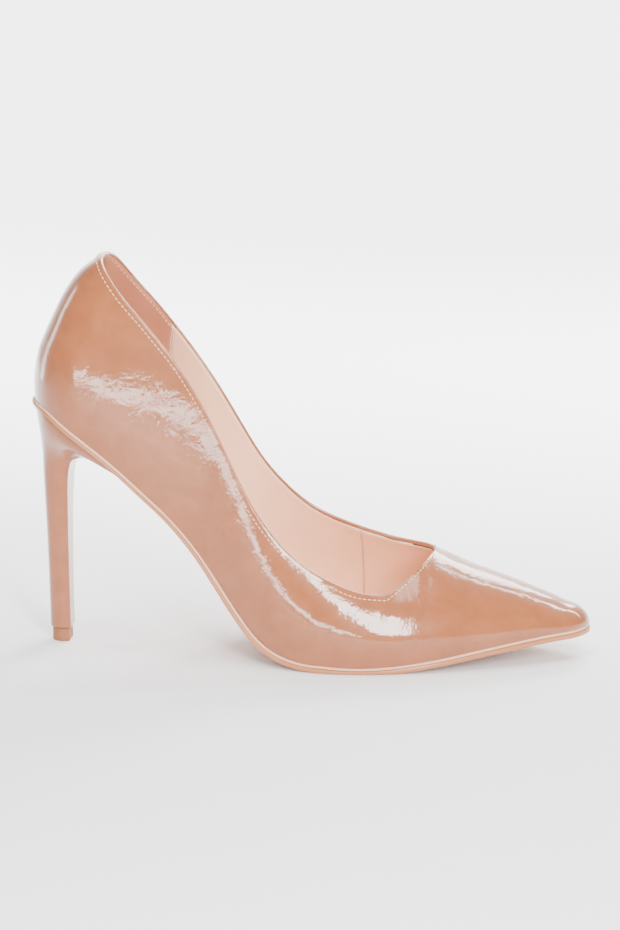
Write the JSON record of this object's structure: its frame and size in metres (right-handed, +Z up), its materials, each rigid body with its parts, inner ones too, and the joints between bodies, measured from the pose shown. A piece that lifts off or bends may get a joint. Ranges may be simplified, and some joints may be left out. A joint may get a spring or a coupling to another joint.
{
  "type": "high heel pump",
  "caption": "Pointed stiletto court shoe with an asymmetric low-cut topline, patent upper, leather lining and sole, and a slim covered heel",
  "frame": {"origin": "centre of the heel tip's tread, on the floor that the shoe stands on", "axes": "+X from the heel to the toe, +Y to the inner side of the right foot, +Z up"},
  "size_m": [0.2411, 0.0816, 0.1717],
  "materials": {
    "upper": "glossy patent coating",
    "topline_fold": "folded edge",
    "lasting_margin": "roughed for the adhesive",
    "topline_tape": "woven tape",
    "interlining": "woven cotton",
    "toe_puff": "impregnated fabric",
    "heel_counter": "moulded board",
    "vamp_lining": "matt grain",
    "quarter_lining_outer": "matt grain",
    "quarter_lining_inner": "matt grain",
    "heel_grip_lining": "napped",
    "insole_board": "fibre board",
    "shank_board": "fibre board",
    "steel_shank": "tempered steel",
    "shank_rivets": "steel",
    "heel_pad": "latex foam",
    "forefoot_pad": "latex foam",
    "sock": "matt grain",
    "seat_filler": "felt board",
    "bottom_filler": "cork sheet",
    "outsole": "smooth with waxed edge",
    "sole_badge": "polished gold plate",
    "heel_cover": "glossy patent coating",
    "heel_core": "moulded",
    "heel_dowel": "steel tube",
    "heel_tip": "hard rubber",
    "heel_tip_pin": "steel",
    "heel_screw": "steel",
    "heel_nails": "steel"
  },
  "bodies": {
    "root": {"upper": "upper", "topline_fold": "topline_fold", "lasting_margin": "lasting_margin", "topline_tape": "topline_tape", "interlining": "interlining", "toe_puff": "toe_puff", "heel_counter": "heel_counter", "vamp_lining": "vamp_lining", "quarter_lining_outer": "quarter_lining_outer", "quarter_lining_inner": "quarter_lining_inner", "heel_grip_lining": "heel_grip_lining", "insole_board": "insole_board", "shank_board": "shank_board", "steel_shank": "steel_shank", "shank_rivets": "shank_rivets", "heel_pad": "heel_pad", "forefoot_pad": "forefoot_pad", "sock": "sock", "seat_filler": "seat_filler", "bottom_filler": "bottom_filler", "outsole": "outsole", "sole_badge": "sole_badge", "heel_cover": "heel_cover", "heel_core": "heel_core", "heel_dowel": "heel_dowel", "heel_tip": "heel_tip", "heel_tip_pin": "heel_tip_pin", "heel_screw": "heel_screw", "heel_nails": "heel_nails"}
  },
  "joints": []
}
